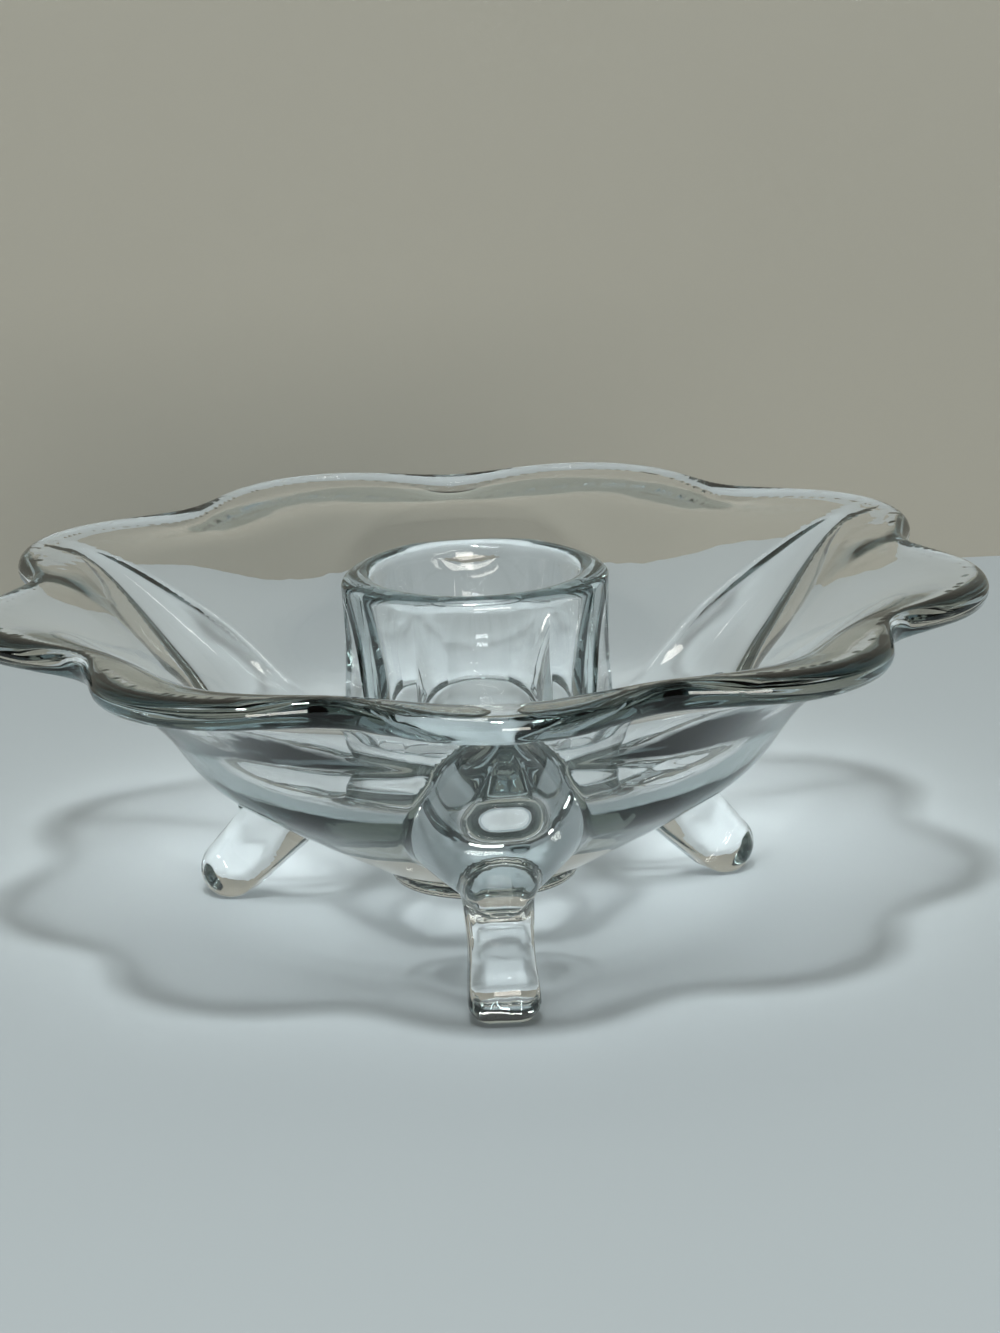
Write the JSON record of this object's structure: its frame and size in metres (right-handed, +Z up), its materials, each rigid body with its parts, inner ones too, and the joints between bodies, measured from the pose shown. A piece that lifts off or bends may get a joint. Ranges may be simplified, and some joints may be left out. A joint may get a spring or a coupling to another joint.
{
  "type": "footed candle dish",
  "caption": "Low scalloped bowl in clear pressed glass on splayed legs, with a paneled socket in the middle for a taper candle.",
  "frame": {"origin": "on the dish's axis, at the level of the table that the toes stand on", "axes": "+Z up along the candle, -Y towards the front leg, +X to the right seen from the front"},
  "size_m": [0.1092, 0.1082, 0.0405],
  "materials": {
    "clear_glass": "fire-polished pressed glass, clear with a faint grey-green tint in the thick edges"
  },
  "bodies": {
    "root": {"bowl": "clear_glass", "candle_socket": "clear_glass", "base_pad": "clear_glass", "knee_front": "clear_glass", "foot_front": "clear_glass", "knee_right": "clear_glass", "foot_right": "clear_glass", "knee_left": "clear_glass", "foot_left": "clear_glass"}
  },
  "joints": []
}
